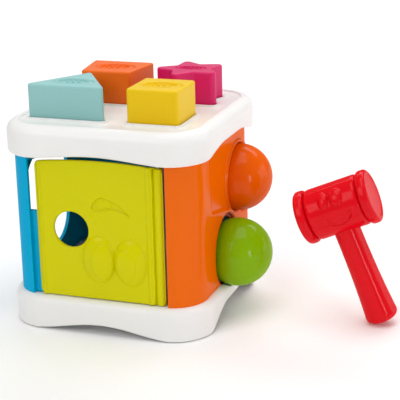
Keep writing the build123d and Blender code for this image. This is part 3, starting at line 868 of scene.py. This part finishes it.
def hammer_place(sizes):
    """Turn, lean and lift of the hammer: the rounded end's rim just meets the table."""
    rim = sizes.grip_end - sizes.grip_round
    lift = sizes.grip_round * (1 - math.cos(sizes.lean)) + rim * math.sin(sizes.lean)
    foot = Matrix.Translation((sizes.foot_x, sizes.foot_y, lift))
    return foot @ Matrix.Rotation(sizes.turn, 4, "Z") @ Matrix.Rotation(-sizes.lean, 4, "Y")


def hammer_piece(name, points, sizes, node):
    """Places a grid modelled upright at the origin and settles it as a hammer piece."""
    matrix = np.array(hammer_place(sizes))
    placed = points @ matrix[:3, :3].T + matrix[:3, 3]
    piece = grid_piece(name, [(placed, True, False)])
    settle(piece, "hammer", "red_plastic", node)


def head_relief(x, girth, face):
    """Height of the head's face in unrolled millimetres: two eye domes, a smile groove on an arc
    with a soft lip inside it, both bell curves of the distance from the arc, and a dimple."""
    eyes = np.maximum(dome(x, girth - face, (-4.6, 0), (3.9, 6.4), 0.45),
                      dome(x, girth - face, (4.7, 0), (4.9, 7.0), 0.45))
    from_middle = np.hypot(x - 2.2 * MM, girth - 0.5 * MM)
    below = smooth_step(-girth, 1.5 * MM, 4.5 * MM)
    height = 2.6 * MM * eyes
    for rise, radius, width in ((-0.9, 10, 0.6), (0.6, 8.7, 0.7)):
        height += rise * MM * below * np.exp(-((from_middle - radius * MM) / (width * MM)) ** 2)
    return height - 0.7 * MM * dome(x, girth, (11.4, -1.4), (2.2, 1.0))


class CUBE_OT_hammer(bpy.types.Operator):
    """Red hammer: barrel head with a plain smiling face, two end beads and a tapered handle"""

    bl_idname = "sorting_cube.hammer"
    bl_label = "Hammer"

    def execute(self, context):
        sizes = context.scene.cube_hammer
        self.head(sizes)
        self.beads(sizes)
        self.handle(sizes)
        return {"FINISHED"}

    def head(self, sizes):
        """Barrel turned round X, its ends rounded, raised by the relief along its radius."""
        half, radius, soft = sizes.head_half, sizes.head_radius, 3 * MM
        face_angle, end_rows, columns = math.radians(37), 10, 288
        along = np.linspace(-half + soft, half - soft, 90)
        barrel = np.concatenate([
            [[0, -half]], arc((radius - soft, -half + soft), soft, 270, 360),
            np.stack([np.full_like(along, radius), along], axis=-1)[1:-1],
            arc((radius - soft, half - soft), soft, 0, 90), [[0, half]]])
        grid = along_x(barrel, columns)
        angle = np.linspace(0, 2 * math.pi, columns, endpoint=False)
        girth = radius * ((angle + math.pi) % (2 * math.pi) - math.pi)[None, :]
        rise = head_relief(grid[..., 0], girth, radius * face_angle)
        rise[:end_rows] = 0
        rise[-end_rows:] = 0
        grid[..., 1:] *= (1 + rise / radius)[..., None]
        grid[..., 2] += sizes.height
        hammer_piece("hammer_barrel", grid, sizes, "hammer_head")

    def beads(self, sizes):
        """End bead: a disc with a round edge and a barely sunk outer face."""
        radius, soft, sunk, face = sizes.bead_radius, 2.6 * MM, 0.4 * MM, 15.2 * MM
        start = sizes.head_half
        end = start + sizes.bead_thick
        bead = np.concatenate([
            [[0, start]], arc((radius - soft, start + soft), soft, 270, 360),
            arc((radius - soft, end - soft), soft, 0, 90),
            [[face, end], [face - 0.3 * MM, end - 0.3 * MM], [face - 1.2 * MM, end - sunk],
             [0, end - sunk]]])
        for node, side in (("hammer_left_cap", -1), ("hammer_right_cap", 1)):
            grid = along_x(bead) * np.array([side, 1, 1]) + np.array([0, 0, sizes.height])
            hammer_piece(node.replace("cap", "bead"), grid, sizes, node)

    def handle(self, sizes):
        """Round grip: a rounded end, then a radius of neck + (end - neck) * (1 - share) ** 2.6."""
        soft, end = sizes.grip_round, sizes.grip_end
        neck_height = sizes.height - sizes.head_radius / 2
        share = np.linspace(0, 1, 30)[1:]
        taper = np.stack([sizes.grip_neck + (end - sizes.grip_neck) * (1 - share) ** 2.6,
                          soft + (neck_height - soft) * share], axis=-1)
        grip = np.concatenate([[[0, 0]], arc((end - soft, soft), soft, 270, 360, 10), taper,
                               [[0, neck_height]]])
        hammer_piece("hammer_grip", turned(grip), sizes, "hammer_handle")


# ---- ball bench wall -------------------------------------------------------------
class BenchSizes(bpy.types.PropertyGroup):
    """Ball bench wall"""

    corner: length("Corner", "Plan corner radius of the wall", 24)
    wall: length("Wall", "Thickness of the wall", 2.6)
    hole_gap: length("Hole gap", "Room between a ball and its hole", 0.5)
    hole_rise: length("Hole rise", "How far the lower hole runs on above its ball", 2.5)
    dish: length("Dish", "Depth of the sunk panel round the upper ball", 1.7)
    lip: length("Lip", "Width of the lip round a hole", 3.2)
    boss: length("Boss", "Radius of the screw bosses", 6)
    boss_length: length("Boss length", "Height of a screw boss", 24)


def wrapped(along, height, depth, half, corner):
    """Puts a flat pattern on the U-shaped wall: straight, then round a quarter turn each way.

    A point at distance along lies at (corner centre) + (corner radius - depth) * (cos, sin) of
    (distance past the corner's start) / corner radius.
    """
    flat = half - corner
    angle = np.clip((np.abs(along) - flat) / corner, 0, math.pi / 2)
    across = flat + (corner - depth) * np.cos(angle)
    back = np.sign(along) * (np.minimum(np.abs(along), flat) + (corner - depth) * np.sin(angle))
    return np.stack([across, back, height + 0 * across], axis=-1)


def polyline(points, steps):
    """Evenly filled run through some points, by straight interpolation, without its last point."""
    points = np.asarray(points, dtype=float)
    place = np.concatenate([index + np.arange(count) / count for index, count in enumerate(steps)])
    marks = np.arange(len(points))
    return np.stack([np.interp(place, marks, points[:, 0]), np.interp(place, marks, points[:, 1])], axis=-1)


class CUBE_OT_bench(bpy.types.Operator):
    """Orange wall: two sheets ruled from the ball holes to a shared dividing line, with a sunk
    panel and lips, closed round the holes and the outer edge, and the screw bosses"""

    bl_idname = "sorting_cube.bench"
    bl_label = "Ball Bench Wall"

    def execute(self, context):
        sizes = context.scene.cube_bench
        low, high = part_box("ball_bench_wall")
        half, bottom, top = high.x, low.z, high.z
        end = (half - sizes.corner) + sizes.corner * math.acos((low.x + sizes.corner - half) / sizes.corner)
        upper, radius = ball_place("upper")
        lower = ball_place("lower")[0]
        radius += sizes.hole_gap
        holes = ((upper.y, upper.z), 0.0), ((lower.y, lower.z), sizes.hole_rise)
        divide = [(-end, 84 * MM), (-8 * MM, 82 * MM), (14 * MM, 69.8 * MM), (34 * MM, 58 * MM),
                  (end, 56 * MM)]
        there = polyline(divide, (60, 26, 26, 60))
        back_again = np.concatenate([[divide[-1]], there[:0:-1]])
        outer_steps = (40, 160, 40)
        upper_run = polyline([divide[-1], (end, top), (-end, top), divide[0]], outer_steps)
        lower_run = polyline([divide[0], (-end, bottom), (end, bottom), divide[-1]], outer_steps)
        grids = []
        for line, run, last, hole in ((there, upper_run, divide[0], holes[0]),
                                      (back_again, lower_run, divide[-1], holes[1])):
            loop = np.concatenate([line, run])
            grids += self.sheet(loop, hole, holes, radius, half, sizes)
            rim = np.concatenate([run, [last]])
            sunk = self.depth(rim[:, 0], rim[:, 1], holes, radius, sizes)
            faces = [wrapped(rim[:, 0], rim[:, 1], depth, half, sizes.corner)
                     for depth in (sunk, sizes.wall + 0 * sunk)]
            grids.append((np.stack(faces), False, False))
        boss_bore, boss_place, boss_drop = 1.6 * MM, 57.5 * MM, 1.4 * MM
        for sign in (-1, 1):
            for start in (bottom - boss_drop, top - sizes.boss_length):
                end_height = start + sizes.boss_length
                tube = np.array([[boss_bore, start], [sizes.boss, start],
                                 [sizes.boss, end_height], [boss_bore, end_height]])
                place = np.array([boss_place, sign * boss_place, 0])
                grids.append((turned(tube, 32) + place, True, True))
        settle(grid_piece("bench_wall", grids), "cube", "orange_plastic", "ball_bench_wall")
        return {"FINISHED"}

    def depth(self, along, height, holes, radius, sizes):
        """Sunk panel behind a steep left edge and a lower edge that falls to the right, filled up
        again to a lip round each hole, whose inner edge is rounded."""
        left = -33 * MM - 0.09 * (height - 80 * MM)
        lower_edge = np.interp(along, np.array([-40, -30, -8, 14, 34, 80]) * MM,
                               np.array([82, 80, 76, 70.5, 62, 55]) * MM)
        slope, lip_slope, hole_edge, lip_share = 3 * MM, 1.1 * MM, 0.9 * MM, 0.85
        sunk = sizes.dish * smooth_step(along - left, 0, slope) * smooth_step(height - lower_edge, 0, slope)
        for centre, rise in holes:
            lift = np.clip(height - centre[1], 0, rise)
            away = np.hypot(along - centre[0], height - centre[1] - lift) - radius
            lip = smooth_step(sizes.lip - away, 0, lip_slope)
            sunk = sunk * (1 - lip_share * lip) + hole_edge * (1 - smooth_step(away, 0, MM))
        return sunk

    def sheet(self, loop, hole, holes, radius, half, sizes):
        """Rows from a hole's edge to the outline, close together near the hole, outside and
        inside, and the short wall between them in the hole.

        The hole's edge is centre + radius * (cos, sin), its upper half moved up by the rise.
        """
        centre, rise = hole
        angle = np.arctan2(loop[:, 1] - centre[1], loop[:, 0] - centre[0])
        hole_along = centre[0] + radius * np.cos(angle)
        lift = rise * smooth_step(np.sin(angle), -0.15, 0.15)
        hole_height = centre[1] + lift + radius * np.sin(angle)
        share = (np.linspace(0, 1, 64) ** 1.7)[:, None]
        along = hole_along * (1 - share) + loop[:, 0] * share
        height = hole_height * (1 - share) + loop[:, 1] * share
        sunk = self.depth(along, height, holes, radius, sizes)
        outside = wrapped(along, height, sunk, half, sizes.corner)
        inside = wrapped(along[::9], height[::9], sizes.wall, half, sizes.corner)
        return [(outside, True, False), (inside, True, False),
                (np.stack([outside[0], inside[0]]), True, False)]


# ---- fittings and panel ----------------------------------------------------------
class CUBE_OT_fittings(bpy.types.Operator):
    """All finishes, and those of the pieces that keep their machined shape"""

    bl_idname = "sorting_cube.fittings"
    bl_label = "Fittings"

    def execute(self, context):
        colors = context.scene.cube_colors
        for slot, recipe in PLASTICS.items():
            FINISHES[slot] = plastic(getattr(colors, slot), *recipe)
        FINISHES["steel"] = brushed_steel("Drawn Steel")
        for name, piece in frame["nodes"].items():
            dress(piece, slot_of(name))
        return {"FINISHED"}


class CUBE_PT_workshop(bpy.types.Panel):
    """Sidebar list of the build steps and sizes"""

    bl_idname = "CUBE_PT_workshop"
    bl_label = "Sorting Cube"
    bl_space_type = "VIEW_3D"
    bl_region_type = "UI"
    bl_category = "Sorting Cube"

    def draw(self, context):
        for step in STEPS:
            self.layout.operator(step.bl_idname)
        for group in SETTINGS:
            sizes = getattr(context.scene, group)
            box = self.layout.box()
            box.label(text=sizes.bl_rna.name)
            for key in sizes.bl_rna.properties.keys():
                if key not in ("rna_type", "name"):
                    box.prop(sizes, key)


SETTINGS = {"cube_colors": FinishColors, "cube_tray": TraySizes, "cube_bench": BenchSizes,
               "cube_door": DoorSizes, "cube_blocks": BlockSizes, "cube_hammer": HammerSizes,
               "cube_stage": StageSizes}
STEPS = (CUBE_OT_fittings, CUBE_OT_tray, CUBE_OT_lid, CUBE_OT_bench, CUBE_OT_door, CUBE_OT_blocks,
         CUBE_OT_balls, CUBE_OT_hammer, CUBE_OT_stage)


def register():
    """Adds the settings to the scene, the steps and the panel."""
    for group, kind in SETTINGS.items():
        bpy.utils.register_class(kind)
        setattr(bpy.types.Scene, group, bpy.props.PointerProperty(type=kind))
    for step in STEPS:
        bpy.utils.register_class(step)
    bpy.utils.register_class(CUBE_PT_workshop)


def unregister():
    """Takes the panel, the steps and the settings away again."""
    bpy.utils.unregister_class(CUBE_PT_workshop)
    for step in reversed(STEPS):
        bpy.utils.unregister_class(step)
    for group, kind in reversed(SETTINGS.items()):
        delattr(bpy.types.Scene, group)
        bpy.utils.unregister_class(kind)


def main():
    """Runs every step in order."""
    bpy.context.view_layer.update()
    register()
    for step in STEPS:
        area, verb = step.bl_idname.split(".")
        getattr(getattr(bpy.ops, area), verb)()


if __name__ == "__main__":
    main()
